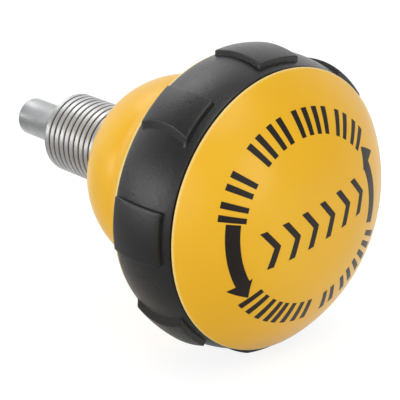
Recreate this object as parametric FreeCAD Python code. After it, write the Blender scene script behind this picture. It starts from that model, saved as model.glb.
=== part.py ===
import FreeCAD, Part
import math
import os

from FreeCAD import Vector

# Pull pin with a spring plunger: the knob is turned to loosen the threaded sleeve in its
# boss, then pulled to draw the plunger back against its spring.
# Lengths are in millimetres. Stations run along the axis from the seat of the sleeve's
# drive shoulder towards the domed front of the knob, which faces -Y. The tip faces +Y.

# Threaded sleeve
thread_radius = 8.0
thread_length = 21.6
thread_chamfer = 0.8
drive_across_flats = 17.0
drive_length = 14.1
drive_corner_cut = 0.7
guide_length = 9.0
bore_lead = 0.5

# Plunger
guide_radius = 4.0
tip_step = 0.2
tip_length = 13.7
tip_round = 0.9
collar_length = 2.2
shank_radius = 3.5
stud_step = 0.5
stud_overhang = 1.5
stud_chamfer = 0.5
turned_edge = 0.3

# Clearances
running_clearance = 0.05
collar_clearance = 0.3
seat_gap = 0.1
socket_clearance = 0.15
socket_floor_gap = 0.6
spring_side_clearance = 0.4
skirt_clearance = 0.1
ring_front_gap = 0.25
stud_clearance = 0.1
washer_clearance = 0.2

# Compression spring
wire_radius = 0.5
spring_turns = 8
closed_turns = 1.25
closed_pitch = 1.08
points_per_turn = 12

# Guide bush in the mouth of the sleeve
bush_length = 3.6
bush_wall = 2.9

# Knob body
knob_setback = 0.5
bell_length = 22.25
rear_edge_round = 3.2
rear_land = 2.27
flare_rise = 7.2
flare_length = 10.25
flare_round = 5.0
flare_angle = 42.0
belly_lead = 0.5
flange_lip = 0.15
shell_wall = 2.4
rear_wall = 2.6
hub_wall = 2.4
floor_thickness = 4.5
rib_count = 6
rib_thickness = 1.8
rib_setback = 0.75

# Grip ring
grip_thickness = 3.5
ring_taper = 0.2
ring_width = 14.3
ring_bulge = 1.36
pad_count = 8
pad_height = 1.0
pad_arc = 20.6
pad_rear_setback = 1.2
pad_front_setback = 1.5
pad_turn = -2.5
mould_draw_angle = 87.5

# Front cap
cap_radius = 26.5
crown_radius = 60.0
crown_reach = 7.04
rim_slope = 50.0
cap_wall = 2.2
cap_rim_edge = 0.5
skirt_length = 6.0
skirt_wall = 1.8
bead_height = 0.45
bead_width = 1.6
bead_from_rim = 2.0

# Washer and lock nut on the plunger's stud
washer_radius = 6.0
washer_thickness = 1.6
nut_across_flats = 10.0
nut_length = 5.0
nut_collar_step = 0.7
nut_collar_length = 1.4

# Stations that follow from the sizes
thread_end = -thread_length
tip_end = thread_end - tip_length
guide_end = thread_end + guide_length
drive_end = drive_length
bush_start = drive_end - bush_length
collar_start = guide_end + seat_gap
collar_end = collar_start + collar_length
knob_rear = knob_setback
floor_start = drive_end + socket_floor_gap
floor_end = floor_start + floor_thickness
nut_start = floor_end + washer_thickness
nut_end = nut_start + nut_length
stud_end = nut_end + stud_overhang
ring_start = knob_rear + bell_length
ring_end = ring_start + ring_width
cap_rim = ring_end + ring_front_gap
flare_start = ring_start - flare_length
belly_station = flare_start + belly_lead

# Radii that follow from the sizes
tip_radius = guide_radius - tip_step
stud_radius = shank_radius - stud_step
chamber_radius = shank_radius + 2.0 * (wire_radius + spring_side_clearance)
collar_radius = chamber_radius - collar_clearance
coil_radius = (shank_radius + chamber_radius) / 2.0
bush_radius = shank_radius + running_clearance + bush_wall
socket_across_flats = drive_across_flats + 2.0 * socket_clearance
hub_radius = socket_across_flats / math.sqrt(3.0) + hub_wall
ring_rear_radius = cap_radius + ring_taper
drum_radius = ring_rear_radius - grip_thickness
drum_bore_radius = drum_radius - shell_wall
skirt_radius = drum_bore_radius - skirt_clearance
flange_radius = ring_rear_radius - flange_lip
stem_radius = flange_radius - flare_rise
belly_rise = stem_radius - hub_radius - rear_land
belly_depth = belly_station - knob_rear
belly_radius = (belly_rise ** 2 + belly_depth ** 2) / (2.0 * belly_rise)


class Outline:
    """A closed outline in the half plane through the axis, by station and radius."""

    def __init__(self, station, radius):
        self.first = (station, radius)
        self.last = self.first
        self.edges = []

    def line(self, station, radius):
        """Add a straight edge to the given place."""
        if math.dist(self.last, (station, radius)) > 1e-6:
            self.edges.append(Part.makeLine(place(*self.last), place(station, radius)))
            self.last = (station, radius)
        return self

    def arc(self, middle, end):
        """Add a round edge through a middle place to its end."""
        self.edges.append(Part.Arc(place(*self.last), place(*middle), place(*end)).toShape())
        self.last = end
        return self

    def turned(self, sweep=360.0):
        """Close the outline and turn it about the axis."""
        self.line(*self.first)
        face = Part.Face(Part.Wire(self.edges))
        return face.revolve(Vector(0, 0, 0), Vector(0, 1, 0), sweep)


def place(station, radius):
    """A point of an outline."""
    return Vector(radius, -station, 0)


def turned(*corners):
    """A turned solid with straight edges between its corners."""
    outline = Outline(*corners[0])
    for corner in corners[1:]:
        outline.line(*corner)
    return outline.turned()


def hexagon(across_flats, start, end):
    """A hexagonal bar along the axis with flats above and below."""
    corner = across_flats / math.sqrt(3.0)
    points = []
    for step in range(7):
        angle = math.radians(60.0 * step)
        points.append(Vector(corner * math.cos(angle), -start, corner * math.sin(angle)))
    return Part.Face(Part.makePolygon(points)).extrude(Vector(0, start - end, 0))


def corner_cutter(across_flats, start, end, cut):
    """The turned envelope that takes the sharp corners off a hexagon's two ends."""
    corner = across_flats / math.sqrt(3.0)
    face = corner - 2.0 * cut
    return turned((start, 0), (start, face), (start + cut, corner), (end - cut, corner),
                  (end, face), (end, 0))


def about(centre, radius, degrees):
    """A place on a circle of the outline's plane, by its angle from straight inwards."""
    angle = math.radians(degrees)
    return (centre[0] + radius * math.sin(angle), centre[1] - radius * math.cos(angle))


def threaded_sleeve():
    """The sleeve: a threaded stretch, a hexagonal drive and the spring chamber inside."""
    stem = turned((thread_end, 0), (thread_end, thread_radius - thread_chamfer),
                  (thread_end + thread_chamfer, thread_radius), (0, thread_radius), (0, 0))
    drive = hexagon(drive_across_flats, 0, drive_end)
    drive = drive.common(corner_cutter(drive_across_flats, 0, drive_end, drive_corner_cut))
    guide = guide_radius + running_clearance
    bore = turned((thread_end, 0), (thread_end, guide + bore_lead), (thread_end + bore_lead, guide),
                  (guide_end, guide), (guide_end, chamber_radius), (bush_start, chamber_radius),
                  (bush_start, bush_radius), (drive_end, bush_radius), (drive_end, 0))
    return stem.fuse(drive).cut(bore).removeSplitter()


def guide_bush():
    """The bush pressed into the sleeve's mouth, which guides the shank and holds the spring."""
    bore = shank_radius + running_clearance
    return turned((bush_start, bore), (bush_start, bush_radius),
                  (drive_end - turned_edge, bush_radius), (drive_end, bush_radius - turned_edge),
                  (drive_end, bore + turned_edge), (drive_end - turned_edge, bore))


def plunger_pin():
    """The plunger: tip, guided stretch, spring collar, shank and threaded stud."""
    shoulder = floor_start
    round_middle = tip_round * (1.0 - math.sqrt(0.5))
    outline = Outline(tip_end, 0)
    outline.line(tip_end, tip_radius - tip_round)
    outline.arc((tip_end + round_middle, tip_radius - round_middle),
                (tip_end + tip_round, tip_radius))
    outline.line(thread_end, tip_radius)
    outline.line(thread_end + turned_edge, guide_radius)
    outline.line(collar_start, guide_radius)
    outline.line(collar_start, collar_radius - turned_edge)
    outline.line(collar_start + turned_edge, collar_radius)
    outline.line(collar_end, collar_radius)
    outline.line(collar_end, shank_radius)
    outline.line(shoulder, shank_radius)
    outline.line(shoulder, stud_radius)
    outline.line(stud_end - stud_chamfer, stud_radius)
    outline.line(stud_end, stud_radius - stud_chamfer)
    outline.line(stud_end, 0)
    return outline.turned()


def coil_rise(turn, open_pitch):
    """The axial rise of the spring's wire after so many turns from its first end."""
    closed = closed_pitch * 2.0 * wire_radius
    open_turns = spring_turns - 2.0 * closed_turns
    rise = closed * min(turn, closed_turns)
    rise += open_pitch * min(max(turn - closed_turns, 0.0), open_turns)
    return rise + closed * max(turn - closed_turns - open_turns, 0.0)


def compression_spring():
    """The coil between the plunger's collar and the bush, with closed ends ground flat."""
    length = bush_start - collar_end
    open_turns = spring_turns - 2.0 * closed_turns
    sunk = 0.5 * wire_radius
    closed_rise = 2.0 * closed_turns * closed_pitch * 2.0 * wire_radius
    open_pitch = (length - 2.0 * sunk - closed_rise) / open_turns
    points = []
    for step in range(spring_turns * points_per_turn + 1):
        turn = step / points_per_turn
        angle = 2.0 * math.pi * turn
        station = collar_end + sunk + coil_rise(turn, open_pitch)
        points.append(Vector(coil_radius * math.cos(angle), -station,
                             coil_radius * math.sin(angle)))
    path = Part.BSplineCurve()
    path.interpolate(points)
    section = Part.Wire(Part.Circle(points[0], path.tangent(path.FirstParameter)[0],
                                    wire_radius).toShape())
    coil = Part.Wire(path.toShape()).makePipeShell([section], True, True)
    window = turned((collar_end, 0), (collar_end, chamber_radius),
                    (bush_start, chamber_radius), (bush_start, 0))
    return coil.common(window)


def bell_outline(outline, inset, start, end_radius):
    """Draw the bell's side out to a flange radius, in straight stretches where it is inset."""
    belly = (belly_station, stem_radius - belly_radius)
    lean = math.degrees(math.asin(belly_lead / belly_radius))
    flare = about(belly, -(belly_radius + flare_round), lean)
    size = belly_radius - inset
    if inset > 0:
        steep = math.degrees(math.asin((belly[0] - start) / size))
        outline.line(start, about(belly, -size, steep)[1])
        outline.line(*about(belly, -size, (lean + steep) / 2.0))
        outline.line(*about(belly, -size, lean))
        outline.line(*about(flare, flare_round + inset, flare_angle))
    else:
        reach = size - rear_edge_round
        steep = math.degrees(math.asin((belly[0] - start - rear_edge_round) / reach))
        rounding = about(belly, -reach, steep)
        outline.line(start, rounding[1])
        outline.arc(about(rounding, -rear_edge_round, (90.0 + steep) / 2.0),
                    about(rounding, -rear_edge_round, steep))
        outline.arc(about(belly, -size, (lean + steep) / 2.0), about(belly, -size, lean))
        outline.arc(about(flare, flare_round, (lean + flare_angle) / 2.0),
                    about(flare, flare_round, flare_angle))
    left = end_radius - outline.last[1]
    outline.line(outline.last[0] + left / math.tan(math.radians(flare_angle)), end_radius)


def knob_shell():
    """The solid outside of the knob body, with the drum that carries the grip ring."""
    outline = Outline(knob_rear, 0)
    bell_outline(outline, 0.0, knob_rear, flange_radius)
    outline.line(ring_start, flange_radius)
    outline.line(ring_start, drum_radius)
    outline.line(ring_end, drum_radius)
    outline.line(ring_end, 0)
    return outline.turned()


def knob_cavity():
    """The space that the mould leaves between the hub and the shell, open to the front."""
    start = knob_rear + rear_wall
    groove = ring_end - bead_from_rim
    half = bead_width / 2.0
    outline = Outline(start, hub_radius)
    bell_outline(outline, shell_wall, start, drum_bore_radius)
    outline.line(groove - bead_width, drum_bore_radius)
    outline.line(groove - half, drum_bore_radius + bead_height)
    outline.line(groove, drum_bore_radius)
    outline.line(ring_end, drum_bore_radius)
    outline.line(ring_end, 0)
    outline.line(floor_end, 0)
    outline.line(floor_end, hub_radius)
    return outline.turned()


def knob_ribs():
    """The spokes between the hub and the shell."""
    rib_end = ring_start - rib_setback
    corner = Vector(hub_radius - hub_wall / 2.0, -rib_end, -rib_thickness / 2.0)
    ribs = []
    for step in range(rib_count):
        rib = Part.makeBox(drum_radius, rib_end - knob_rear, rib_thickness, corner)
        rib.rotate(Vector(0, 0, 0), Vector(0, 1, 0), 360.0 * (step + 0.5) / rib_count)
        ribs.append(rib)
    return ribs


def knob_body():
    """The moulded body: bell, flange, drum, ribs and hub with the hexagonal socket."""
    cavity = knob_cavity().cut(knob_ribs())
    socket = hexagon(socket_across_flats, knob_rear, floor_start)
    hole = stud_radius + stud_clearance
    stud_hole = turned((floor_start, 0), (floor_start, hole), (floor_end, hole), (floor_end, 0))
    return knob_shell().cut([cavity, socket, stud_hole]).removeSplitter()


def barrel(start, end, rise):
    """Start an outline inside the grip with its barrel curve, raised by rise."""
    middle = (start + end) / 2.0
    outline = Outline(start, drum_radius)
    outline.line(start, barrel_radius(start) + rise)
    return outline.arc((middle, barrel_radius(middle) + rise), (end, barrel_radius(end) + rise))


def barrel_radius(station):
    """The radius of the grip's barrel curve at a station."""
    share = (station - ring_start) / ring_width
    slope = (cap_radius - ring_rear_radius) * share
    return ring_rear_radius + slope + 4.0 * ring_bulge * share * (1.0 - share)


def pad_relief(angle, facing):
    """What comes off a pad's side where it would catch in the mould as that draws away.

    The two halves of the mould draw off above and below, so such a side runs along the
    draw and not towards the axis. Facing is 1 for a pad's last side and -1 for its first.
    """
    lean = math.radians(angle - mould_draw_angle)
    if facing * math.sin(2.0 * lean) <= 0:
        return []
    size = 2.0 * ring_rear_radius
    offset = ring_rear_radius * abs(math.sin(lean))
    block = Part.makeBox(size, ring_width, 2.0 * size, Vector(offset, -ring_end, -size))
    across = mould_draw_angle + math.copysign(90.0, math.sin(lean))
    block.rotate(Vector(0, 0, 0), Vector(0, 1, 0), -across)
    return [block]


def grip_pad(first):
    """One raised pad, from the angle of its first side."""
    end = ring_end - pad_front_setback
    outline = barrel(ring_start + pad_rear_setback, end, pad_height)
    outline.line(end, drum_radius)
    last = first + pad_arc
    pad = outline.turned(pad_arc)
    pad.rotate(Vector(0, 0, 0), Vector(0, 1, 0), -last)
    relief = pad_relief(first, -1) + pad_relief(last, 1)
    return pad.cut(relief) if relief else pad


def grip_ring():
    """The soft ring round the drum, with its raised pads."""
    outline = barrel(ring_start, ring_end, 0.0)
    outline.line(ring_end, drum_radius)
    pads = []
    for step in range(pad_count):
        pads.append(grip_pad(360.0 * step / pad_count + pad_turn - pad_arc / 2.0))
    return outline.turned().fuse(pads).removeSplitter()


def dome(inset, radius):
    """Start an outline with the domed front, moved inwards by the inset, out to a radius."""
    rim = (cap_rim + cap_rim_edge, cap_radius)
    crown_slope = math.asin(crown_reach / crown_radius)
    steepening = math.sin(math.radians(rim_slope)) - math.sin(crown_slope)
    shoulder_radius = (cap_radius - crown_reach) / steepening
    shoulder = about(rim, -shoulder_radius, 90.0 + rim_slope)
    crown = (shoulder[0] - (crown_radius - shoulder_radius) * math.cos(crown_slope), 0.0)
    join = 90.0 + math.degrees(crown_slope)
    crown_size = crown_radius - inset
    size = shoulder_radius - inset
    last = 90.0 + math.degrees(math.asin((radius - shoulder[1]) / size))
    outline = Outline(crown[0] + crown_size, 0)
    outline.arc(about(crown, crown_size, (90.0 + join) / 2.0), about(crown, crown_size, join))
    outline.arc(about(shoulder, size, (join + last) / 2.0), about(shoulder, size, last))
    return outline


def front_cap():
    """The domed cap: a thin shell with a skirt that snaps into the drum."""
    skirt_end = cap_rim - skirt_length
    groove = ring_end - bead_from_rim
    inner_radius = skirt_radius - skirt_wall
    outside = dome(0.0, cap_radius)
    outside.line(cap_rim, cap_radius - cap_rim_edge)
    outside.line(cap_rim, skirt_radius)
    outside.line(groove, skirt_radius)
    outside.line(groove - bead_width / 2.0, skirt_radius + bead_height)
    outside.line(groove - bead_width, skirt_radius)
    outside.line(skirt_end, skirt_radius)
    outside.line(skirt_end, 0)
    inside = dome(cap_wall, inner_radius)
    inside.line(skirt_end, inner_radius)
    inside.line(skirt_end, 0)
    return outside.turned().cut(inside.turned())


def lock_washer():
    """The plain washer under the lock nut."""
    bore = stud_radius + washer_clearance
    return turned((floor_end, bore), (floor_end, washer_radius),
                  (nut_start - turned_edge, washer_radius),
                  (nut_start, washer_radius - turned_edge), (nut_start, bore))


def lock_nut():
    """The nut that clamps the knob on the stud, with its locking collar."""
    hex_end = nut_end - nut_collar_length
    body = hexagon(nut_across_flats, nut_start, hex_end)
    body = body.common(corner_cutter(nut_across_flats, nut_start, hex_end, turned_edge))
    round_radius = nut_across_flats / 2.0 - nut_collar_step
    collar = turned((hex_end, 0), (hex_end, round_radius), (nut_end - turned_edge, round_radius),
                    (nut_end, round_radius - turned_edge), (nut_end, 0))
    bore = turned((nut_start, 0), (nut_start, stud_radius), (nut_end, stud_radius), (nut_end, 0))
    return body.fuse(collar).cut(bore).removeSplitter()


def main():
    """Build every piece and write it to its own file."""
    pieces = {
        "threaded_sleeve": threaded_sleeve,
        "guide_bush": guide_bush,
        "compression_spring": compression_spring,
        "plunger_pin": plunger_pin,
        "knob_body": knob_body,
        "grip_ring": grip_ring,
        "front_cap": front_cap,
        "flat_washer": lock_washer,
        "lock_nut": lock_nut,
    }
    os.makedirs("parts", exist_ok=True)
    for name, build in pieces.items():
        shape = build()
        if len(shape.Solids) == 1:
            shape = shape.Solids[0]
        print(name, "valid", shape.isValid(), "solids", len(shape.Solids), "volume", round(shape.Volume, 1))
        shape.exportStep("parts/" + name + ".step")


main()
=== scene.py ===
"""Looks of a pull pin with a spring plunger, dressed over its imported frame.

Meshes are drawn in millimetres and stored in metres, in the frame's own axes. A station is
the distance from the drive shoulder's seat towards the domed front, which faces -Y, so a
point at a station lies at y = -station. Angles about the axis are seen from the front, from
+X towards +Z.
"""

import logging
import math
from dataclasses import dataclass
from enum import Enum

import bmesh
import bpy
from bmesh.types import BMEdge, BMesh, BMFace, BMVert
from bpy.types import Material
from mathutils import Matrix, Vector

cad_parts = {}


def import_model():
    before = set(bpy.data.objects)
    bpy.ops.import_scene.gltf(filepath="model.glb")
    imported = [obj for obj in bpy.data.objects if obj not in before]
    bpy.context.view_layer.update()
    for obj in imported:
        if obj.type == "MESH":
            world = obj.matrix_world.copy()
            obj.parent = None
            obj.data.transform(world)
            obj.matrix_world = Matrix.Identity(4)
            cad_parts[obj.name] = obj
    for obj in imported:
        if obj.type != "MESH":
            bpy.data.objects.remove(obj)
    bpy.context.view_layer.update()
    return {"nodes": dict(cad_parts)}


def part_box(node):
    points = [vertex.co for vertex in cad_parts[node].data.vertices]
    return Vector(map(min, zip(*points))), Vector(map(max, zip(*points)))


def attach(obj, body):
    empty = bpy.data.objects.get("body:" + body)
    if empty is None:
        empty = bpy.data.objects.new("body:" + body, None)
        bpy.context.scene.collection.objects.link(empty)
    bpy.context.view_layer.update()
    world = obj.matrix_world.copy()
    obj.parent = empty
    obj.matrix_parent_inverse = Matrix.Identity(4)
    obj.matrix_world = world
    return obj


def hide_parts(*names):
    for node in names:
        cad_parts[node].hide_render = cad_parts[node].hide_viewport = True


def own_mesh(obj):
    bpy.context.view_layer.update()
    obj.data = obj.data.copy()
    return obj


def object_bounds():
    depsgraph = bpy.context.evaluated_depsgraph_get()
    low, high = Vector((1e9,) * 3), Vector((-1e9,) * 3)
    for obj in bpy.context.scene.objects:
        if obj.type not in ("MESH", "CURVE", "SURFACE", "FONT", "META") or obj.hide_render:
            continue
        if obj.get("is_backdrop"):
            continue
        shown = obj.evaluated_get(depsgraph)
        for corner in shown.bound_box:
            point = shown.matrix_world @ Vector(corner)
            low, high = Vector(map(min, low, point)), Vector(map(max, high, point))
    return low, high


MM = 0.001
AXIS = Vector((0.0, 1.0, 0.0))
CENTRE = Vector((0.0, 0.0, 0.0))
MERGE_DISTANCE = 0.0005
OVERSHOOT = 1.0  # how far a cutting shape reaches past what it cuts
HAIR = 0.001  # keeps a cutting face out of a face beside it
FINE_TURN = 224
TURN = 96
Pair = tuple[float, float]
Triple = tuple[float, float, float]
Sockets = dict[str | int, object] | None

log = logging.getLogger("pull_pin")


class Join(Enum):
    """The ways in which one closed mesh acts on another."""

    UNION = "UNION"
    DIFFERENCE = "DIFFERENCE"
    INTERSECT = "INTERSECT"


def place(station: float, radius: float) -> Vector:
    """A point of a turned piece's outline."""
    return Vector((radius, -station, 0.0))


def about(centre: Pair, radius: float, degrees: float) -> Pair:
    """The station and radius of a point on a circle, by its angle from straight inwards."""
    angle = math.radians(degrees)
    return (centre[0] + radius * math.sin(angle), centre[1] - radius * math.cos(angle))


def angle_of(point: Vector) -> float:
    """The angle about the axis of a point, in degrees from +X towards +Z."""
    return math.degrees(math.atan2(point.z, point.x))


def outward(point: Vector) -> Vector:
    """The unit vector from the axis through a point."""
    return Vector((point.x, 0.0, point.z)).normalized()


def radius_of(point: Vector) -> float:
    """The distance of a point from the axis."""
    return math.hypot(point.x, point.z)


def hexagon_corner(across_flats: float) -> float:
    """The radius of a hexagon's corners."""
    return across_flats / math.sqrt(3.0)


def stations(node: str) -> Pair:
    """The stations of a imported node's rear and front ends."""
    low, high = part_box(node)
    return -high.y / MM, -low.y / MM


def verts_of(made: dict[str, list]) -> list[BMVert]:
    """The points among what an extrusion made."""
    return [item for item in made["geom"] if isinstance(item, BMVert)]


class Outline:
    """An outline in the half plane through the axis, drawn edge by edge in a new mesh."""

    def __init__(self, station: float, radius: float) -> None:
        """Start the outline.

        Args:
            station: The station of its first point.
            radius: The radius of its first point.
        """
        self.mesh = bmesh.new()
        self.first = self.mesh.verts.new(place(station, radius))
        self.tip = self.first

    def line(self, station: float, radius: float) -> None:
        """Draw a straight edge.

        Args:
            station: The station of its end.
            radius: The radius of its end.
        """
        end = place(station, radius)
        if (end - self.tip.co).length > MERGE_DISTANCE:
            made = bmesh.ops.extrude_vert_indiv(self.mesh, verts=[self.tip])
            self.tip = made["verts"][0]
            self.tip.co = end

    def lines(self, *corners: Pair) -> None:
        """Draw a straight edge to each corner in turn."""
        for corner in corners:
            self.line(*corner)

    def arc(self, centre: Pair, degrees: float, steps: int) -> None:
        """Draw a round stretch about a centre.

        Args:
            centre: The station and radius of the arc's centre.
            degrees: The angle that it turns through, positive from radius towards station.
            steps: The number of edges in it.
        """
        made = bmesh.ops.spin(self.mesh, geom=[self.tip], cent=place(*centre), axis=(0, 0, 1),
                              angle=math.radians(degrees), steps=steps)
        self.tip = next(item for item in made["geom_last"] if isinstance(item, BMVert))

    def bend(self, corner: Pair, toward: Pair, size: float,
             steps: int = 4) -> None:
        """Draw up to a corner and round it.

        Args:
            corner: The station and radius of the sharp corner.
            toward: The place that the outline goes to after it.
            size: The radius of the rounding.
            steps: The number of edges in it.
        """
        sharp = place(*corner)
        arrive = (sharp - self.tip.co).normalized()
        leave = (place(*toward) - sharp).normalized()
        turn = math.atan2(arrive.x * leave.y - arrive.y * leave.x, arrive.dot(leave))
        start = sharp - arrive * size * math.tan(abs(turn) / 2.0)
        side = Vector((-arrive.y, arrive.x, 0.0)) * math.copysign(size, turn)
        self.line(-start.y, start.x)
        hub = start + side
        self.arc((-hub.y, hub.x), math.degrees(turn), steps)

    def close(self) -> None:
        """Join the last point to the first."""
        self.mesh.edges.new((self.tip, self.first))

    def turned(self, steps: int = TURN) -> BMesh:
        """Turn the outline all round the axis.

        Args:
            steps: The number of faces round the piece.

        Returns:
            The closed mesh.
        """
        geometry = self.mesh.verts[:] + self.mesh.edges[:]
        bmesh.ops.spin(self.mesh, geom=geometry, cent=CENTRE, axis=AXIS, angle=2.0 * math.pi,
                       steps=steps, use_merge=True)
        return closed(self.mesh)


def closed(mesh: BMesh) -> BMesh:
    """Merge a mesh's doubled points and turn its faces outwards."""
    bmesh.ops.remove_doubles(mesh, verts=mesh.verts[:], dist=MERGE_DISTANCE)
    bmesh.ops.recalc_face_normals(mesh, faces=mesh.faces[:])
    return mesh


def turned(*corners: Pair, steps: int = TURN) -> BMesh:
    """Turn a shape with straight edges between its corners.

    Args:
        corners: The station and radius of each corner, the first and last on the axis.
        steps: The number of faces round the piece.

    Returns:
        The closed mesh.
    """
    outline = Outline(*corners[0])
    outline.lines(*corners[1:])
    return outline.turned(steps)


def hexagon(across_flats: float, start: float, end: float) -> BMesh:
    """A hexagonal bar along the axis with flats above and below.

    Args:
        across_flats: The distance between two opposite flats.
        start: The station of its first end.
        end: The station of its second end.

    Returns:
        The closed mesh.
    """
    mesh = bmesh.new()
    made = bmesh.ops.create_circle(mesh, cap_ends=True, segments=6,
                                   radius=hexagon_corner(across_flats))
    upright = Matrix.Rotation(math.radians(90.0), 4, "X")
    flat_up = upright @ Matrix.Rotation(math.radians(30.0), 4, "Z")
    bmesh.ops.transform(mesh, matrix=Matrix.Translation(place(start, 0.0)) @ flat_up,
                        verts=made["verts"])
    made = bmesh.ops.extrude_face_region(mesh, geom=mesh.faces[:])
    bmesh.ops.translate(mesh, vec=place(end - start, 0.0), verts=verts_of(made))
    return closed(mesh)


def stored(mesh: BMesh, name: str) -> bpy.types.Mesh:
    """Store a mesh under a name and free it."""
    data = bpy.data.meshes.new(name)
    mesh.to_mesh(data)
    mesh.free()
    return data


def linked(name: str, data: bpy.types.ID) -> bpy.types.Object:
    """Put an object that holds some data into the scene."""
    made = bpy.data.objects.new(name, data)
    bpy.context.scene.collection.objects.link(made)
    return made


def combine(base: BMesh, tool: BMesh, join: Join) -> BMesh:
    """Act with one closed mesh on another, and free both.

    Args:
        base: The mesh to change.
        tool: The mesh that changes it.
        join: What the tool does.

    Returns:
        A new mesh with the result.
    """
    holders = [linked("shaping", stored(part, "shaping")) for part in (base, tool)]
    change = holders[0].modifiers.new("join", "BOOLEAN")
    change.operation = join.value
    change.solver = "EXACT"
    change.object = holders[1]
    bpy.context.view_layer.update()
    made = bmesh.new()
    made.from_object(holders[0], bpy.context.evaluated_depsgraph_get())
    for holder in holders:
        data = holder.data
        bpy.data.objects.remove(holder)
        bpy.data.meshes.remove(data)
    return made


def absorb(mesh: BMesh, part: BMesh) -> None:
    """Add one mesh to another and free it."""
    data = stored(part, "shaping")
    mesh.from_mesh(data)
    bpy.data.meshes.remove(data)


@dataclass(frozen=True)
class Role:
    """Where a piece belongs: its body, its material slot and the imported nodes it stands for."""

    body: str
    slot: str
    stands_for: tuple[str, ...] = ()


def make_piece(mesh: BMesh, name: str, material: Material, role: Role,
               sharp_degrees: float = 40.0) -> bpy.types.Object:
    """Store a mesh as a finished piece and put it on the body that carries it.

    Args:
        mesh: The piece in millimetres, which is freed.
        name: The piece's name.
        material: Its finish.
        role: Where it belongs.
        sharp_degrees: The angle from which an edge is shaded as sharp.

    Returns:
        The piece's object.
    """
    bmesh.ops.scale(mesh, vec=Vector((MM, MM, MM)), verts=mesh.verts[:])
    data = stored(mesh, name)
    data.shade_smooth()
    data.set_sharp_from_angle(angle=math.radians(sharp_degrees))
    data.materials.append(material)
    piece = linked(name, data)
    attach(piece, role.body)
    if role.stands_for:
        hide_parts(*role.stands_for)
    log.info("%s: %d faces on %s", name, len(data.polygons), role.body)
    return piece


class Wire:
    """An output socket that adds Math nodes when it stands in an expression."""

    def __init__(self, sheet: "NodeSheet", socket: bpy.types.NodeSocket) -> None:
        """Wrap an output socket of a sheet's node tree."""
        self.sheet = sheet
        self.socket = socket

    def math(self, operation: str, *values: "Wire | float") -> "Wire":
        """The result of a new Math node that takes the values."""
        return self.sheet.wire("Math", 0, dict(enumerate(values)), operation=operation)

    def __add__(self, other: "Wire | float") -> "Wire":
        """This plus another value."""
        return self.math("ADD", self, other)

    def __radd__(self, other: float) -> "Wire":
        """A number plus this."""
        return self.math("ADD", other, self)

    def __sub__(self, other: "Wire | float") -> "Wire":
        """This less another value."""
        return self.math("SUBTRACT", self, other)

    def __rsub__(self, other: float) -> "Wire":
        """A number less this."""
        return self.math("SUBTRACT", other, self)

    def __mul__(self, other: "Wire | float") -> "Wire":
        """This times another value."""
        return self.math("MULTIPLY", self, other)

    def __rmul__(self, other: float) -> "Wire":
        """A number times this."""
        return self.math("MULTIPLY", other, self)

    def above(self, low: float, high: float) -> "Wire":
        """A smooth step from 0 at the low value to 1 at the high one."""
        return self.sheet.wire("MapRange", "Result",
                               {"Value": self, "From Min": low, "From Max": high},
                               interpolation_type="SMOOTHSTEP")


class NodeSheet:
    """The node tree of a material or a world."""

    def __init__(self, owner: Material | bpy.types.World) -> None:
        """Clear the owner's nodes.

        Args:
            owner: The material or world.
        """
        owner.use_nodes = True
        self.tree = owner.node_tree
        self.tree.nodes.clear()

    def add(self, kind: str, sockets: Sockets = None, **settings: object) -> bpy.types.Node:
        """Add a node.

        Args:
            kind: The node's type, without the words that all types start with.
            sockets: The values or links of its input sockets, by name or number.
            settings: Its own settings.

        Returns:
            The node.
        """
        node = self.tree.nodes.new(f"ShaderNode{kind}")
        for key, value in settings.items():
            setattr(node, key, value)
        for key, value in (sockets or {}).items():
            if isinstance(value, Wire):
                self.tree.links.new(value.socket, node.inputs[key])
            else:
                node.inputs[key].default_value = value
        return node

    def wire(self, kind: str, output: str | int, sockets: Sockets = None,
             **settings: object) -> Wire:
        """Add a node and return one of its outputs."""
        return Wire(self, self.add(kind, sockets, **settings).outputs[output])

    def object_place(self, stretch: Triple = (1.0, 1.0, 1.0)) -> Wire:
        """The piece's own coordinates, stretched along its axes."""
        raw = self.wire("TexCoord", "Object")
        return self.wire("Mapping", "Vector", {"Vector": raw, "Scale": stretch})

    def from_axis(self, where: Wire) -> Wire:
        """The distance of the coordinates from the axis."""
        apart = self.add("SeparateXYZ", {"Vector": where})
        x, z = Wire(self, apart.outputs["X"]), Wire(self, apart.outputs["Z"])
        square = x * x + z * z
        return square.math("SQRT", square)

    def along_axis(self, where: Wire) -> Wire:
        """The coordinates' place along the axis."""
        return self.wire("SeparateXYZ", "Y", {"Vector": where})

    def noise(self, where: Wire, size: float, detail: float = 2.0, roughness: float = 0.5) -> Wire:
        """Soft noise from 0 to 1, with spots of a size in metres and layers of finer ones."""
        return self.wire("TexNoise", "Fac", {"Vector": where, "Scale": 1.0 / size,
                                             "Detail": detail, "Roughness": roughness})

    def blend(self, share: Wire, first: tuple[float, ...] | Wire,
              second: tuple[float, ...] | Wire) -> Wire:
        """Mix two colours."""
        ends = [end if isinstance(end, Wire) else (*end, 1.0) for end in (first, second)]
        return self.wire("Mix", 2, {0: share, 6: ends[0], 7: ends[1]}, data_type="RGBA")

    def relief(self, height: Wire, depth: float, strength: float = 1.0) -> Wire:
        """A bump of the given depth in metres."""
        return self.wire("Bump", "Normal",
                         {"Height": height, "Distance": depth, "Strength": strength})


@dataclass(frozen=True)
class Finish:
    """A procedural finish that its own class describes."""

    name: str

    def sockets(self, sheet: NodeSheet, where: Wire) -> dict[str, object]:
        """What the surface shader's sockets take, from the piece's coordinates."""
        raise NotImplementedError

    def material(self) -> Material:
        """Make the material."""
        made = bpy.data.materials.new(self.name)
        sheet = NodeSheet(made)
        sockets = self.sockets(sheet, sheet.object_place())
        sheet.add("OutputMaterial", {"Surface": sheet.wire("BsdfPrincipled", "BSDF", sockets)})
        return made


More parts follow.
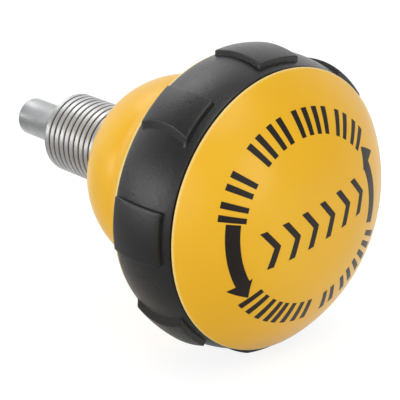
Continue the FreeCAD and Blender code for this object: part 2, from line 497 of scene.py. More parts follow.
@dataclass(frozen=True)
class Plastic(Finish):
    """Glossy moulded plastic that lets a little light through, with more of that light painted as a
    paler colour at its thin rims.
    """

    name: str = "yellow_plastic"
    colour: Triple = (0.89, 0.495, 0.014)
    deep: Triple = (0.86, 0.46, 0.011)
    # painted light: the paler colour laid on the outer rims, for light that shines through the thin
    # plastic there
    edge: Triple = (0.9, 0.68, 0.26)
    rim_light_radii: Pair = (0.0262, 0.0266)
    flow_size: float = 0.02
    cloud_size: float = 0.006
    grain_size: float = 0.0011
    grain_depth: float = 0.000012
    roughness: float = 0.25
    unevenness: float = 0.1
    gloss: float = 0.42
    translucency: float = 0.12
    scatter: Triple = (1.0, 0.55, 0.2)
    scatter_depth: float = 0.0012

    def sockets(self, sheet: NodeSheet, where: Wire) -> dict[str, object]:
        """The sockets of plastic with a slow flow of colour and painted light at its thin rims."""
        flow = sheet.noise(where, self.flow_size)
        body = sheet.blend(flow.above(0.3, 0.7), self.colour, self.deep)
        # painted light: a paler colour from the radius where the thin rims begin
        rim = sheet.from_axis(where).above(*self.rim_light_radii)
        cloud = sheet.noise(where, self.cloud_size, 3.0)
        grain = sheet.noise(where, self.grain_size, 3.0)
        return {
            "Base Color": sheet.blend(rim, body, self.edge),
            "Roughness": self.roughness + self.unevenness * cloud,
            "IOR": 1.5,
            "Specular IOR Level": self.gloss,
            "Subsurface Weight": self.translucency,
            "Subsurface Radius": self.scatter,
            "Subsurface Scale": self.scatter_depth,
            "Normal": sheet.relief(grain, self.grain_depth, 0.35),
        }


@dataclass(frozen=True)
class Grip(Finish):
    """Soft black rubber with a fine speckle and a satin sheen."""

    name: str = "black_grip"
    colour: Triple = (0.006, 0.006, 0.0065)
    rubbed: Triple = (0.016, 0.016, 0.017)
    speckle_size: float = 0.00028
    speckle_depth: float = 0.00009
    cloud_size: float = 0.009
    roughness: float = 0.21
    unevenness: float = 0.12

    def sockets(self, sheet: NodeSheet, where: Wire) -> dict[str, object]:
        """The sockets of rubber whose grains are rubbed grey in places."""
        speckle = sheet.noise(where, self.speckle_size, 2.0, 0.6)
        cloud = sheet.noise(where, self.cloud_size, 3.0)
        return {
            "Base Color": sheet.blend(speckle.above(0.45, 0.75) * cloud, self.colour, self.rubbed),
            "Roughness": self.roughness + self.unevenness * cloud,
            "IOR": 1.56,
            "Normal": sheet.relief(speckle, self.speckle_depth, 0.8),
        }


@dataclass(frozen=True)
class TurnedSteel(Finish):
    """Plated steel with the fine rings that a lathe leaves, with shade painted dark down in a
    thread's grooves.
    """

    name: str = "zinc_steel"
    colour: Triple = (0.52, 0.525, 0.53)
    dull: Triple = (0.40, 0.405, 0.41)
    roughness: float = 0.26
    unevenness: float = 0.14
    haze_size: float = 0.0035
    ring_size: float = 0.00016
    ring_depth: float = 0.000006
    ring_stretch: Triple = (0.04, 1.0, 0.04)
    # painted shade: the dark colour laid down in a thread's grooves, where shade falls between the
    # flanks
    groove: Triple = (0.06, 0.059, 0.058)
    groove_shade_radii: Pair | None = None
    unshaded_from: Pair = (0.0203, 0.0206)

    def sockets(self, sheet: NodeSheet, where: Wire) -> dict[str, object]:
        """The sockets of hazy plate, with shade painted dark in the thread's grooves, inside the
        radii given for it.
        """
        rings = sheet.noise(sheet.object_place(self.ring_stretch), self.ring_size)
        haze = sheet.noise(where, self.haze_size, 4.0, 0.6)
        plate = sheet.blend(haze.above(0.35, 0.75), self.colour, self.dull)
        # painted shade: darken everything below the crest radius, except near the thread's free end
        if self.groove_shade_radii:
            crest = sheet.from_axis(where).above(*self.groove_shade_radii)
            plain = sheet.along_axis(where).above(*self.unshaded_from)
            plate = sheet.blend(crest + (1.0 - crest) * plain, self.groove, plate)
        return {
            "Base Color": plate,
            "Metallic": 1.0,
            "Roughness": self.roughness + self.unevenness * haze,
            "Normal": sheet.relief(rings, self.ring_depth, 0.6),
        }


@dataclass(frozen=True)
class Ink(Finish):
    """Brown-black printed ink with a slightly uneven film."""

    name: str = "print_ink"
    colour: Triple = (0.011, 0.006, 0.004)
    thin: Triple = (0.024, 0.012, 0.007)
    film_size: float = 0.0007
    roughness: float = 0.36
    unevenness: float = 0.12
    gloss: float = 0.32

    def sockets(self, sheet: NodeSheet, where: Wire) -> dict[str, object]:
        """The sockets of ink that is thinner in places."""
        film = sheet.noise(where, self.film_size, 3.0, 0.6)
        return {
            "Base Color": sheet.blend(film.above(0.5, 0.85), self.colour, self.thin),
            "Roughness": self.roughness + self.unevenness * film,
            "IOR": 1.5,
            "Specular IOR Level": self.gloss,
        }


@dataclass
class Sleeve:
    """The threaded sleeve with its hexagonal drive, guide bore and spring chamber."""

    finish: Material
    thread_radius: float = 8.0
    pitch: float = 1.5
    thread_depth: float = 0.5
    thread_chamfer: float = 0.8
    flank_angle: float = 30.0
    turn_steps: int = 72
    corner_cut: float = 0.7
    guide_radius: float = 4.05
    guide_length: float = 9.0
    bore_lead: float = 0.5
    chamber_radius: float = 5.3
    bush_radius: float = 6.45
    bush_length: float = 3.6
    overlap: float = 1.0

    def threads(self, thread_end: float) -> BMesh:
        """Sweep one tooth along its helix and cut it to a chamfered stem.

        Args:
            thread_end: The station of the thread's free end.

        Returns:
            The closed mesh, which reaches a little into the drive.
        """
        crest = self.thread_radius
        root = crest - self.thread_depth
        start = thread_end - self.pitch
        flank = self.thread_depth * math.tan(math.radians(self.flank_angle))
        tooth = Outline(start, root)
        tooth.lines((start + flank, crest), (thread_end - flank, crest), (thread_end, root))
        mesh = tooth.mesh
        turns = math.ceil((self.overlap - start) / self.pitch) + 1
        rise = -self.pitch / self.turn_steps * AXIS
        bmesh.ops.spin(mesh, geom=mesh.verts[:] + mesh.edges[:], cent=CENTRE, axis=-AXIS, dvec=rise,
                       angle=2.0 * math.pi * turns, steps=turns * self.turn_steps)
        bmesh.ops.remove_doubles(mesh, verts=mesh.verts[:], dist=MERGE_DISTANCE)
        for station, side in ((start + self.pitch / 2.0, 1.0), (self.overlap + self.pitch, -1.0)):
            geometry = mesh.verts[:] + mesh.edges[:] + mesh.faces[:]
            cut = bmesh.ops.bisect_plane(mesh, geom=geometry, plane_co=place(station, 0.0),
                                         plane_no=side * AXIS, clear_outer=True)
            rim = [item for item in cut["geom_cut"] if isinstance(item, BMEdge)]
            bmesh.ops.contextual_create(mesh, geom=rim)
        stem = turned((thread_end, 0.0), (thread_end, crest - self.thread_chamfer),
                      (thread_end + self.thread_chamfer, crest + HAIR),
                      (self.overlap, crest + HAIR), (self.overlap, 0.0))
        return combine(closed(mesh), stem, Join.INTERSECT)

    def drive(self, across_flats: float, end: float) -> BMesh:
        """The hexagonal drive with its corners turned off.

        Args:
            across_flats: The distance between two opposite flats.
            end: The station of its free end.

        Returns:
            The closed mesh.
        """
        corner = hexagon_corner(across_flats)
        face = corner - 2.0 * self.corner_cut
        envelope = turned((0.0, 0.0), (0.0, face), (self.corner_cut, corner + HAIR),
                          (end - self.corner_cut, corner + HAIR), (end, face), (end, 0.0))
        bar = hexagon(across_flats, -OVERSHOOT, end + OVERSHOOT)
        return combine(bar, envelope, Join.INTERSECT)

    def build(self) -> None:
        """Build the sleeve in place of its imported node."""
        thread_end, drive_end = stations("threaded_sleeve")
        across_flats = 2.0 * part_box("threaded_sleeve")[1].z / MM
        guide_end = thread_end + self.guide_length
        bush_start = drive_end - self.bush_length
        outside = combine(self.threads(thread_end), self.drive(across_flats, drive_end), Join.UNION)
        lead = self.guide_radius + self.bore_lead
        bore = turned((thread_end - OVERSHOOT, 0.0), (thread_end - OVERSHOOT, lead),
                      (thread_end, lead), (thread_end + self.bore_lead, self.guide_radius),
                      (guide_end, self.guide_radius), (guide_end, self.chamber_radius),
                      (bush_start, self.chamber_radius), (bush_start, self.bush_radius),
                      (drive_end + OVERSHOOT, self.bush_radius), (drive_end + OVERSHOOT, 0.0))
        make_piece(combine(outside, bore, Join.DIFFERENCE), "sleeve_with_thread", self.finish,
                   Role("sleeve", "zinc_steel", ("threaded_sleeve",)), sharp_degrees=28.0)


@dataclass
class Plunger:
    """The plunger: rounded tip, guided stretch, spring collar, shank and stud."""

    finish: Material
    tip_radius: float = 3.8
    tip_round: float = 0.9
    guide_radius: float = 4.0
    guide_start: float = -21.6
    collar_start: float = -12.5
    collar_end: float = -10.3
    collar_radius: float = 5.0
    shank_radius: float = 3.5
    shoulder: float = 14.7
    stud_radius: float = 3.0
    edge: float = 0.3

    def build(self) -> None:
        """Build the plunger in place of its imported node."""
        tip, stud_end = stations("plunger_pin")
        outline = Outline(tip, 0.0)
        outline.bend((tip, self.tip_radius), (0.0, self.tip_radius), self.tip_round, 8)
        outline.lines(
            (self.guide_start, self.tip_radius),
            (self.guide_start + self.edge, self.guide_radius),
            (self.collar_start, self.guide_radius),
            (self.collar_start, self.collar_radius - self.edge),
            (self.collar_start + self.edge, self.collar_radius),
            (self.collar_end, self.collar_radius), (self.collar_end, self.shank_radius),
            (self.shoulder, self.shank_radius), (self.shoulder, self.stud_radius),
            (stud_end - self.edge, self.stud_radius), (stud_end, self.stud_radius - self.edge),
            (stud_end, 0.0))
        make_piece(outline.turned(), "plunger", self.finish,
                   Role("knob", "zinc_steel", ("plunger_pin",)))


@dataclass
class Spring:
    """The compression spring between the plunger's collar and the bush."""

    finish: Material
    wire_radius: float = 0.5
    coil_radius: float = 4.4
    start: float = -10.3
    end: float = 10.5
    closed_turns: float = 1.25
    closed_pitch: float = 1.08
    turns: float = 8.0
    turn_steps: int = 40
    wire_sides: int = 14
    least_share: float = 0.471

    def build(self) -> None:
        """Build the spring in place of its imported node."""
        mesh = bmesh.new()
        made = bmesh.ops.create_circle(mesh, cap_ends=True, segments=self.wire_sides,
                                       radius=self.wire_radius)
        seat = self.start + self.wire_radius
        bmesh.ops.translate(mesh, vec=place(seat, self.coil_radius), verts=made["verts"])
        open_turns = self.turns - 2.0 * self.closed_turns
        closed_rise = 2.0 * self.closed_turns * self.closed_pitch
        open_pitch = (self.end - self.start - 2.0 * self.wire_radius - closed_rise) / open_turns
        section = mesh.faces[:]
        for turns, pitch in ((self.closed_turns, self.closed_pitch), (open_turns, open_pitch),
                             (self.closed_turns, self.closed_pitch)):
            steps = round(turns * self.turn_steps)
            swept = bmesh.ops.spin(mesh, geom=section, cent=CENTRE, axis=-AXIS,
                                   dvec=-pitch * turns / steps * AXIS,
                                   angle=2.0 * math.pi * turns, steps=steps)
            section = [item for item in swept["geom_last"] if isinstance(item, BMFace)]
        piece = make_piece(closed(mesh), "spring_coil", self.finish,
                           Role("sleeve", "spring_steel", ("compression_spring",)))
        tuple(place(self.end * MM, 0.0))
        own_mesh(piece)


@dataclass
class KnobBody:
    """The moulded knob body: bell, flange, drum, ribs and hub with its hexagonal socket."""

    finish: Material
    rear_round: float = 3.2
    rear_radius: float = 14.66
    flare_rise: float = 7.2
    flare_length: float = 10.25
    flare_round: float = 5.0
    flare_angle: float = 42.0
    belly_lead: float = 0.5
    shell_wall: float = 2.4
    rear_wall: float = 2.6
    hub_radius: float = 12.39
    socket_across_flats: float = 17.3
    socket_lead: float = 1.2
    lead_margin: float = 0.1
    floor_start: float = 14.7
    floor_end: float = 19.2
    hole_radius: float = 3.1
    rib_count: int = 6
    rib_thickness: float = 1.8
    rib_setback: float = 0.75
    rib_root: float = 1.2
    grip_step: float = 0.2
    grip_thickness: float = 3.5
    flange_lip: float = 0.15
    lip_round: float = 0.5
    edge: float = 0.12
    arc_steps: int = 20

    def side(self, outline: Outline, inset: float, start: float, flange: float,
             seat: float) -> None:
        """Draw the bell's side, in straight stretches where it is moved inwards.

        Args:
            outline: The outline to go on with.
            inset: How far inside the bell's surface the side runs.
            start: The station that it starts from.
            flange: The radius that the flare ends at.
            seat: The station of the grip's seat.
        """
        rear = stations("knob_body")[0]
        stem = self.flange_radius() - self.flare_rise
        flare_start = seat - self.flare_length
        belly = flare_start + self.belly_lead
        rise = stem - self.rear_radius
        size = (rise ** 2 + (belly - rear) ** 2) / (2.0 * rise)
        hub = (belly, stem - size)
        lean = math.degrees(math.asin(self.belly_lead / size))
        flare = about(hub, -(size + self.flare_round), lean)
        if inset > 0.0:
            steep = math.degrees(math.asin((belly - start) / (size - inset)))
            outline.lines((start, about(hub, inset - size, steep)[1]),
                          about(hub, inset - size, (lean + steep) / 2.0),
                          about(hub, inset - size, lean),
                          about(flare, self.flare_round + inset, self.flare_angle))
        else:
            reach = size - self.rear_round
            steep = math.degrees(math.asin((belly - start - self.rear_round) / reach))
            rounding = about(hub, -reach, steep)
            outline.line(start, rounding[1])
            outline.arc(rounding, steep - 90.0, self.arc_steps)
            outline.arc(hub, lean - steep, 2 * self.arc_steps)
            outline.arc(flare, self.flare_angle - lean, self.arc_steps)
        left = flange - outline.tip.co.x
        lip = left / math.tan(math.radians(self.flare_angle)) - outline.tip.co.y
        if inset > 0.0:
            outline.line(lip, flange)
        else:
            outline.bend((lip, flange), (seat, flange), self.lip_round)

    def flange_radius(self) -> float:
        """The radius of the flange behind the grip."""
        return -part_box("front_cap")[0].z / MM + self.grip_step - self.flange_lip

    def shell(self, rear: float, seat: float, front: float, drum: float) -> BMesh:
        """The solid outside of the body."""
        flange = self.flange_radius()
        outline = Outline(rear, 0.0)
        self.side(outline, 0.0, rear, flange, seat)
        outline.bend((seat, flange), (seat, drum), self.edge)
        outline.line(seat, drum)
        outline.bend((front, drum), (front, 0.0), self.edge)
        outline.line(front, 0.0)
        return outline.turned(FINE_TURN)

    def cavity(self, rear: float, seat: float, front: float, bore: float) -> BMesh:
        """The space between the hub and the shell, open to the front, without the ribs."""
        start = rear + self.rear_wall
        outline = Outline(start, self.hub_radius)
        self.side(outline, self.shell_wall, start, bore, seat)
        outline.lines((front + OVERSHOOT, bore), (front + OVERSHOOT, 0.0), (self.floor_end, 0.0),
                      (self.floor_end, self.hub_radius))
        outline.close()
        return outline.turned(FINE_TURN)

    def rib(self, rear: float, seat: float, length: float, degrees: float) -> BMesh:
        """One spoke outwards from the hub, at an angle about the axis."""
        mesh = bmesh.new()
        end = seat - self.rib_setback
        made = bmesh.ops.create_cube(mesh, size=1.0)
        middle = place((rear + end) / 2.0, self.hub_radius - self.rib_root + length / 2.0)
        shape = Matrix.Diagonal((length, end - rear, self.rib_thickness, 1.0))
        turn = Matrix.Rotation(math.radians(degrees), 4, AXIS)
        bmesh.ops.transform(mesh, matrix=turn @ Matrix.Translation(middle) @ shape,
                            verts=made["verts"])
        return mesh

    def build(self) -> None:
        """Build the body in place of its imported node."""
        rear, front = stations("knob_body")
        seat = stations("grip_ring")[0]
        drum = self.flange_radius() + self.flange_lip - self.grip_thickness
        hollow = self.cavity(rear, seat, front, drum - self.shell_wall)
        for step in range(self.rib_count):
            degrees = 360.0 * (step + 0.5) / self.rib_count
            hollow = combine(hollow, self.rib(rear, seat, drum, degrees), Join.DIFFERENCE)
        mesh = self.shell(rear, seat, front, drum)
        corner = hexagon_corner(self.socket_across_flats)
        outside = rear - OVERSHOOT
        lead_end = rear + self.socket_lead
        hole_start, hole_end = self.floor_start - OVERSHOOT, self.floor_end + OVERSHOOT
        for tool in (
                hollow, hexagon(self.socket_across_flats, outside, self.floor_start),
                turned((outside, 0.0), (outside, corner + OVERSHOOT),
                       (rear, corner + self.lead_margin), (lead_end, corner - self.socket_lead),
                       (lead_end, 0.0)),
                turned((hole_start, 0.0), (hole_start, self.hole_radius),
                       (hole_end, self.hole_radius), (hole_end, 0.0))):
            mesh = combine(mesh, tool, Join.DIFFERENCE)
        make_piece(mesh, "knob_bell", self.finish,
                   Role("knob", "yellow_plastic", ("knob_body",)), sharp_degrees=30.0)


@dataclass
class GripRing:
    """The soft ring round the drum, with raised pads whose sides let its mould draw away."""

    finish: Material
    rear_radius: float = 26.7
    front_radius: float = 26.5
    drum_radius: float = 23.2
    bulge: float = 1.36
    pad_count: int = 8
    pad_height: float = 1.0
    pad_arc: float = 20.6
    pad_rear_setback: float = 1.2
    pad_front_setback: float = 1.5
    pad_turn: float = -2.5
    draw_angle: float = 87.5
    pad_steps: int = 14
    gap_steps: int = 16
    barrel_steps: int = 16
    end_steps: int = 3
    surface_margin: float = 0.2
    seat_margin: float = 1.0
    edge: float = 0.16
    least_edge_angle: float = 0.55

    def section(self, start: float, end: float) -> Outline:
        """Draw the ring's section without its pads.

        Args:
            start: The station of the rear edge.
            end: The station of the front edge.

        Returns:
            The closed outline.
        """
        chord = place(end, self.front_radius) - place(start, self.rear_radius)
        rise = self.bulge
        size = (chord.length ** 2 / 4.0 + rise ** 2) / (2.0 * rise)
        middle = (place(end, self.front_radius) + place(start, self.rear_radius)) / 2.0
        inward = Vector((chord.y, -chord.x, 0.0)).normalized()
        hub = middle + inward * (size - rise)
        centre = (-hub.y, hub.x)
        marks = (start, start + self.pad_rear_setback, end - self.pad_front_setback, end)
        reach = [math.degrees(math.asin((station - centre[0]) / size)) for station in marks]
        outline = Outline(start, self.drum_radius)
        outline.line(start, self.rear_radius)
        for first, steps in enumerate((self.end_steps, self.barrel_steps, self.end_steps)):
            outline.arc(centre, reach[first] - reach[first + 1], steps)
        outline.line(end, self.drum_radius)
        outline.close()
        return outline

    def on_pad(self, face: BMFace, start: float, end: float) -> bool:
        """Whether a face of the plain ring lies under a pad."""
        middle = face.calc_center_median()
        pitch = 360.0 / self.pad_count
        turn = (angle_of(middle) - self.pad_turn + self.pad_arc / 2.0) % pitch
        outside = radius_of(middle) > self.front_radius - self.surface_margin
        within = start + self.pad_rear_setback < -middle.y < end - self.pad_front_setback
        return outside and turn < self.pad_arc and within

    def side_angle(self, angle: float, facing: float, radius: float) -> float:
        """Where a pad's side lies at a radius.

        A side that would catch in its half of the mould runs along the draw, and the others
        run towards the axis.

        Args:
            angle: The side's angle at the ring's rear edge.
            facing: 1 for a pad's last side and -1 for its first.
            radius: The radius asked for.

        Returns:
            The angle about the axis.
        """
        lean = math.radians(angle - self.draw_angle)
        if radius < self.rear_radius or facing * math.sin(2.0 * lean) <= 0.0:
            return angle
        sine = math.sin(lean) * self.rear_radius / radius
        cosine = math.copysign(math.sqrt(1.0 - sine ** 2), math.cos(lean))
        moved = math.atan2(sine, cosine) - math.atan2(math.sin(lean), math.cos(lean))
        return angle + math.degrees(moved)

    def lean_sides(self, mesh: BMesh) -> None:
        """Turn each point about the axis so that the pads' sides let the mould draw away."""
        pitch = 360.0 / self.pad_count
        origin = self.pad_turn - self.pad_arc / 2.0
        for vert in mesh.verts:
            radius = radius_of(vert.co)
            turn = (angle_of(vert.co) - origin) % 360.0
            first = origin + pitch * (turn // pitch)
            within = turn % pitch
            low = self.side_angle(first, -1.0, radius)
            high = self.side_angle(first + self.pad_arc, 1.0, radius)
            share = within / self.pad_arc
            if within > self.pad_arc:
                low = high
                high = self.side_angle(first + pitch, -1.0, radius)
                share = (within - self.pad_arc) / (pitch - self.pad_arc)
            angle = math.radians(low + (high - low) * share)
            vert.co.x = radius * math.cos(angle)
            vert.co.z = radius * math.sin(angle)

    def build(self) -> None:
        """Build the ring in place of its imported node."""
        start, end = stations("grip_ring")
        mesh = self.section(start, end).mesh
        first = math.radians(self.pad_turn - self.pad_arc / 2.0)
        bmesh.ops.rotate(mesh, cent=CENTRE, matrix=Matrix.Rotation(-first, 3, AXIS),
                         verts=mesh.verts[:])
        edge_loop = mesh.verts[:] + mesh.edges[:]
        gap_arc = 360.0 / self.pad_count - self.pad_arc
        for _ in range(self.pad_count):
            for arc, steps in ((self.pad_arc, self.pad_steps), (gap_arc, self.gap_steps)):
                swept = bmesh.ops.spin(mesh, geom=edge_loop, cent=CENTRE, axis=-AXIS,
                                       angle=math.radians(arc), steps=steps)
                edge_loop = swept["geom_last"]
        closed(mesh)
        covered = [face for face in mesh.faces if self.on_pad(face, start, end)]
        raised = bmesh.ops.extrude_face_region(mesh, geom=covered)
        for vert in verts_of(raised):
            vert.co += outward(vert.co) * self.pad_height
        bmesh.ops.delete(mesh, geom=covered, context="FACES")
        self.lean_sides(mesh)
        closed(mesh)
        beside_drum = self.drum_radius + self.seat_margin
        edges = [edge for edge in mesh.edges
                 if edge.calc_face_angle_signed() > self.least_edge_angle
                 and min(radius_of(vert.co) for vert in edge.verts) > beside_drum]
        bmesh.ops.bevel(mesh, geom=edges, offset=self.edge, offset_type="OFFSET", affect="EDGES",
                        segments=3, profile=0.5, material=-1, clamp_overlap=True)
        piece = make_piece(mesh, "grip", self.finish, Role("knob", "black_grip", ("grip_ring",)),
                           sharp_degrees=35.0)
        even = piece.modifiers.new("even shading", "WEIGHTED_NORMAL")
        even.keep_sharp = True


@dataclass
class FrontCap:
    """The domed cap with its snap skirt."""

    finish: Material
    radius: float = 26.5
    rim_edge: float = 0.5
    rim_round: float = 0.2
    rim_swell: Pair = (0.15, 0.05)
    crown_radius: float = 60.0
    crown_reach: float = 7.04
    rim_slope: float = 50.0
    wall: float = 2.2
    skirt_radius: float = 20.7
    skirt_wall: float = 1.8
    skirt_length: float = 6.0
    bead_height: float = 0.45
    bead_width: float = 1.6
    bead_from_rim: float = 2.25
    arc_steps: int = 26

    def arcs(self) -> tuple[Pair, Pair, float, float]:
        """The crown's and shoulder's centres, the shoulder's size and the angle they join at."""
        rim = stations("front_cap")[0] + self.skirt_length
        join = math.asin(self.crown_reach / self.crown_radius)
        steepening = math.sin(math.radians(self.rim_slope)) - math.sin(join)
        size = (self.radius - self.crown_reach) / steepening
        shoulder = about((rim + self.rim_edge, self.radius), -size, 90.0 + self.rim_slope)
        crown = (shoulder[0] - (self.crown_radius - size) * math.cos(join), 0.0)
        return crown, shoulder, size, math.degrees(join)

    def press(self, mesh: BMesh, lift: float) -> None:
        """Move a flat mesh's points onto the dome.

        Args:
            mesh: The mesh, whose points lie before the dome.
            lift: How far they end in front of its surface.
        """
        crown, shoulder, size, _ = self.arcs()
        for vert in mesh.verts:
            radius = radius_of(vert.co)
            if radius < self.crown_reach:
                station = crown[0] + math.sqrt(self.crown_radius ** 2 - radius ** 2)
            else:
                station = shoulder[0] + math.sqrt(size ** 2 - (radius - shoulder[1]) ** 2)
            vert.co.y = -station - lift

    def build(self) -> None:
        """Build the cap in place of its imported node."""
        skirt_end, crown_front = stations("front_cap")
        rim = skirt_end + self.skirt_length
        crown, shoulder, size, join = self.arcs()
        groove = rim - self.bead_from_rim
        inner = self.skirt_radius - self.skirt_wall
        inner_angle = math.degrees(math.asin((inner - shoulder[1]) / (size - self.wall)))
        outline = Outline(crown_front, 0.0)
        outline.arc(crown, join, self.arc_steps // 2)
        outline.arc(shoulder, self.rim_slope - join, 2 * self.arc_steps)
        skirt = self.skirt_radius
        outline.bend((rim + self.rim_swell[0], self.radius + self.rim_swell[1]), (rim, skirt),
                     self.rim_round)
        outline.lines((rim, skirt), (groove, skirt),
                      (groove - self.bead_width / 2.0, skirt + self.bead_height),
                      (groove - self.bead_width, skirt), (skirt_end, skirt), (skirt_end, inner),
                      about(shoulder, size - self.wall, 90.0 + inner_angle))
        outline.arc(shoulder, join - inner_angle, self.arc_steps)
        outline.arc(crown, -join, self.arc_steps // 2)
        make_piece(outline.turned(FINE_TURN), "dome_cap", self.finish,
                   Role("knob", "yellow_plastic", ("front_cap",)), sharp_degrees=35.0)


@dataclass(frozen=True)
class Band:
    """A band of the print: two radii and the angles it runs between, in degrees."""

    inner: float
    outer: float
    start: float
    end: float


@dataclass
class DialPrint:
    """The ink on the dome: two turning arrows, pairs of bars and a row of chevrons."""

    finish: Material
    cap: FrontCap
    offset: Pair = (-1.06, 1.1)
    film: float = 0.03
    depth: float = 0.09
    join_distance: float = 0.01
    strip_rows: int = 4
    bar_rows: int = 3
    left_arrow: Band = Band(16.3, 18.65, 169.7, 208.5)
    left_head: Band = Band(15.7, 20.2, 208.5, 219.5)
    right_arrow: Band = Band(14.65, 16.9, -17.0, 25.0)
    right_head: Band = Band(14.3, 19.3, 25.0, 37.5)
    marks: tuple[float, ...] = (163.5, 147.3, 123.9, 108.6, 91.1, 77.2, 59.9, 44.6,
                                -134.8, -120.2, -107.4, -93.1, -71.9, -55.4, -41.3, -27.7)
    mark_radii: Pair = (15.5, 19.9)
    bar_width: float = 3.6
    bar_pitch: float = 6.9
    row_turn: float = 12.3
    row_height: float = 7.2
    row_length: float = 25.0
    chevrons: int = 6
    chevron_width: float = 3.3
    stroke: float = 1.35
    stroke_steps: int = 5
    step_degrees: float = 1.6

    def strip(self, mesh: BMesh, band: Band, rows: int, taper: bool = False) -> None:
        """Lay a curved strip flat before the dome.

        Args:
            mesh: The print's mesh.
            band: Where the strip runs.
            rows: The number of faces across it.
            taper: Whether it narrows to a point.
        """
        outline = Outline(0.0, band.inner)
        width = band.outer - band.inner
        outline.lines(*[(0.0, band.inner + width * (row + 1) / rows) for row in range(rows)])
        mark = outline.mesh
        arc = band.end - band.start
        steps = max(2, round(abs(arc) / self.step_degrees))
        bmesh.ops.spin(mark, geom=mark.verts[:] + mark.edges[:], cent=CENTRE, axis=-AXIS,
                       angle=math.radians(arc), steps=steps)
        if taper:
            middle = (band.inner + band.outer) / 2.0
            for vert in mark.verts:
                radius = vert.co.length
                narrowed = middle + (radius - middle) * (1.0 - angle_of(vert.co) / arc)
                vert.co *= narrowed / radius
        self.lay(mesh, mark, band.start)

    @staticmethod
    def lay(mesh: BMesh, mark: BMesh, degrees: float) -> None:
        """Turn a mark about the axis and add it to the print."""
        turn = Matrix.Rotation(-math.radians(degrees), 3, AXIS)
        bmesh.ops.rotate(mark, cent=CENTRE, matrix=turn, verts=mark.verts[:])
        absorb(mesh, mark)

    def stroke_bar(self, mesh: BMesh, start: Vector, end: Vector) -> None:
        """Lay one straight stroke of a chevron flat before the dome.

        Args:
            mesh: The print's mesh.
            start: The middle of the stroke's first end.
            end: The middle of its second end.
        """
        mark = bmesh.new()
        across = Vector((self.stroke / 2.0, 0.0, 0.0))
        edge = mark.edges.new([mark.verts.new(start - across), mark.verts.new(start + across)])
        for _ in range(self.stroke_steps):
            made = bmesh.ops.extrude_edge_only(mark, edges=[edge])
            moved = verts_of(made)
            bmesh.ops.translate(mark, vec=(end - start) / self.stroke_steps, verts=moved)
            edge = next(item for item in made["geom"] if isinstance(item, BMEdge)
                        and all(vert in moved for vert in item.verts))
        self.lay(mesh, mark, self.row_turn)

    def row(self, mesh: BMesh) -> None:
        """Lay the row of chevrons flat before the dome."""
        pitch = (self.row_length - self.chevron_width) / (self.chevrons - 1)
        for step in range(self.chevrons):
            back = -self.row_length / 2.0 + step * pitch + self.stroke / 2.0
            point = Vector((back + self.chevron_width - self.stroke, 0.0, 0.0))
            for side in (1.0, -1.0):
                corner = Vector((back, 0.0, side * self.row_height / 2.0))
                self.stroke_bar(mesh, corner, point)

    def bars(self, mesh: BMesh) -> None:
        """Lay a pair of short bars flat before the dome at each mark."""
        for angle in self.marks:
            for side in (-0.5, 0.5):
                start = angle + side * self.bar_pitch - self.bar_width / 2.0
                bar = Band(*self.mark_radii, start, start + self.bar_width)
                self.strip(mesh, bar, self.bar_rows)

    def build(self) -> None:
        """Lay the print on the dome."""
        mesh = bmesh.new()
        for arrow, head in ((self.left_arrow, self.left_head), (self.right_arrow, self.right_head)):
            self.strip(mesh, arrow, self.strip_rows)
            self.strip(mesh, head, self.strip_rows, True)
        self.bars(mesh)
        self.row(mesh)
        bmesh.ops.remove_doubles(mesh, verts=mesh.verts[:], dist=self.join_distance)
        shift = Vector((self.offset[0], 0.0, self.offset[1]))
        bmesh.ops.translate(mesh, vec=shift, verts=mesh.verts[:])
        self.cap.press(mesh, self.film)
        bmesh.ops.recalc_face_normals(mesh, faces=mesh.faces[:])
        made = bmesh.ops.extrude_face_region(mesh, geom=mesh.faces[:], use_keep_orig=True)
        bmesh.ops.translate(mesh, vec=AXIS * self.depth, verts=verts_of(made))
        bmesh.ops.recalc_face_normals(mesh, faces=mesh.faces[:])
        make_piece(mesh, "dial_print", self.finish, Role("knob", "yellow_plastic"),
                   sharp_degrees=50.0)


def direction(azimuth: float, elevation: float) -> Vector:
    """The unit vector towards an azimuth and elevation, where azimuth 0 stands at -Y."""
    turn = math.radians(azimuth)
    tilt = math.radians(elevation)
    level = math.cos(tilt)
    return Vector((math.sin(turn) * level, -math.cos(turn) * level, math.sin(tilt)))


def stand(data: bpy.types.ID, target: Vector, away: Vector, distance: float) -> bpy.types.Object:
    """Stand a camera or lamp off from a target, facing it."""
    holder = linked(data.name, data)
    holder.location = target + away * distance
    holder.rotation_mode = "QUATERNION"
    holder.rotation_quaternion = (-away).to_track_quat("-Z", "Y")
    return holder


@dataclass(frozen=True)
class Softbox:
    """A soft lamp that faces the object, by the direction it stands in and its brightness."""

    name: str
    azimuth: float
    elevation: float
    width: float
    height: float
    brightness: float
    distance: float = 0.7

    def build(self, target: Vector) -> None:
        """Add the lamp, facing the target."""
        lamp = bpy.data.lights.new(self.name, "AREA")
        lamp.shape = "RECTANGLE"
        lamp.size = self.width
        lamp.size_y = self.height
        lamp.energy = 4.0 * self.width * self.height * self.brightness
        stand(lamp, target, direction(self.azimuth, self.elevation), self.distance)


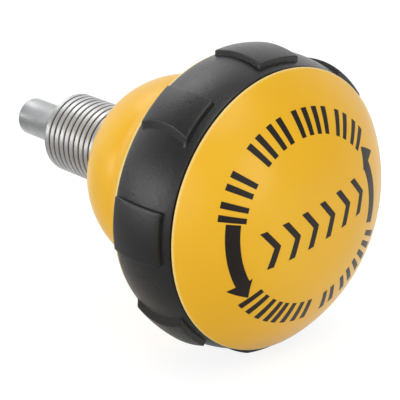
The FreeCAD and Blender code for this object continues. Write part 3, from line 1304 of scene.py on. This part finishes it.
@dataclass
class Studio:
    """The camera, the lamps, the pale floor and the white surroundings."""

    azimuth: float = -42.85
    elevation: float = 21.42
    distance: float = 0.3488
    aim: Triple = (0.00174, -0.01436, -0.00512)
    lens: float = 164.29
    sensor: float = 36.0
    clip_start: float = 0.01
    surround: float = 0.42
    backdrop: float = 1.0
    backdrop_spread: Pair = (0.0, 0.8)
    floor_seen: float = 0.24
    floor_mirrored: float = 0.42
    floor_sheen: float = 0.6
    sheen_reach: Pair = (-0.038, 0.016)
    floor_bounce: float = 0.8
    floor_glow: float = 0.86
    floor_reach: float = 6.0
    softboxes: tuple[Softbox, ...] = (
        Softbox("overhead", 172.0, 46.0, 0.3, 0.3, 1.6),
        Softbox("top", -25.0, 66.0, 0.5, 0.5, 1.5),
        Softbox("front", -2.0, 16.0, 0.24, 0.36, 1.7),
        Softbox("left_fill", -60.0, 8.0, 0.5, 0.5, 1.0),
        Softbox("left", -112.0, 8.0, 0.3, 0.16, 4.3),
        Softbox("rear_left", -139.0, 6.0, 0.09, 0.15, 4.6),
    )

    def camera(self) -> None:
        """Add the camera at the photograph's viewing angle."""
        lens = bpy.data.cameras.new("camera")
        lens.sensor_width = self.sensor
        lens.lens = self.lens
        lens.clip_start = self.clip_start
        away = direction(self.azimuth, self.elevation)
        bpy.context.scene.camera = stand(lens, Vector(self.aim), away, self.distance)

    def floor_material(self) -> Material:
        """Make a floor that is white to the camera, and grey and partly pale in reflections."""
        made = bpy.data.materials.new("floor_white")
        sheet = NodeSheet(made)
        seen = sheet.wire("LightPath", "Is Camera Ray")
        bounced = sheet.wire("LightPath", "Is Diffuse Ray")
        paint = seen * (self.floor_seen - self.floor_mirrored) + self.floor_mirrored
        paint = bounced * (self.floor_bounce - self.floor_mirrored) + paint
        matt = sheet.wire("BsdfDiffuse", "BSDF", {"Color": paint})
        across = sheet.wire("SeparateXYZ", "X", {"Vector": sheet.object_place()})
        shone = sheet.wire("LightPath", "Is Glossy Ray") * across.above(*self.sheen_reach)
        strength = seen * self.floor_glow + shone * self.floor_sheen
        glow = sheet.wire("Emission", "Emission", {"Strength": strength})
        both = sheet.wire("AddShader", "Shader", {0: matt, 1: glow})
        sheet.add("OutputMaterial", {"Surface": both})
        return made

    def floor(self, height: float) -> None:
        """Lay the floor at a height."""
        mesh = bmesh.new()
        bmesh.ops.create_circle(mesh, cap_ends=True, segments=64, radius=self.floor_reach)
        bmesh.ops.translate(mesh, vec=Vector((0.0, 0.0, height)), verts=mesh.verts[:])
        data = stored(mesh, "floor")
        data.materials.append(self.floor_material())
        linked("floor", data)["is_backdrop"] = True

    def surroundings(self) -> None:
        """Make the world white to the camera, and to the object white behind and grey in front."""
        world = bpy.data.worlds.new("studio")
        bpy.context.scene.world = world
        sheet = NodeSheet(world)
        seen = sheet.wire("LightPath", "Is Camera Ray")
        facing = sheet.wire("TexCoord", "Generated")
        behind = sheet.wire("VectorMath", "Value", {0: facing, 1: -direction(self.azimuth, 0.0)},
                            operation="DOT_PRODUCT")
        behind = behind.above(*self.backdrop_spread)
        shade = behind * (self.backdrop - self.surround) + self.surround
        strength = seen * (1.0 - shade) + shade
        light = sheet.wire("Background", "Background",
                           {"Color": (1.0, 1.0, 1.0, 1.0), "Strength": strength})
        sheet.add("OutputWorld", {"Surface": light})

    def build(self) -> None:
        """Build the studio round the object."""
        bpy.context.scene.view_settings.view_transform = "Standard"
        self.camera()
        self.floor(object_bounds()[0].z)
        self.surroundings()
        for softbox in self.softboxes:
            softbox.build(Vector(self.aim))


def dress(node: str, material: Material, frame: dict) -> None:
    """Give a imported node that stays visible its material."""
    data = frame["nodes"][node].data
    data.materials.clear()
    data.materials.append(material)
    log.info("%s: packed node with %s", node, material.name)


def main() -> None:
    """Build every piece in order, then the studio round them."""
    logging.basicConfig(level=logging.INFO, format="%(name)s: %(message)s")
    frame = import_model()
    yellow = Plastic().material()
    steel = TurnedSteel().material()
    # threaded steel with shade painted dark in its grooves, below the radii given
    thread_steel = TurnedSteel("threaded_steel", (0.61, 0.613, 0.616), (0.49, 0.493, 0.496), 0.34,
                               groove_shade_radii=(0.00775, 0.00796)).material()
    spring_steel = TurnedSteel("spring_steel", (0.34, 0.34, 0.36), (0.22, 0.22, 0.23), 0.3)
    brass = TurnedSteel("bush_brass", (0.62, 0.43, 0.19), (0.46, 0.31, 0.14), 0.28).material()
    cap = FrontCap(yellow)
    for assembly in (Sleeve(thread_steel), Plunger(steel), Spring(spring_steel.material()),
                     KnobBody(yellow), GripRing(Grip().material()), cap,
                     DialPrint(Ink().material(), cap)):
        assembly.build()
    dress("guide_bush", brass, frame)
    dress("flat_washer", steel, frame)
    dress("lock_nut", steel, frame)
    Studio().build()


if __name__ == "__main__":
    main()
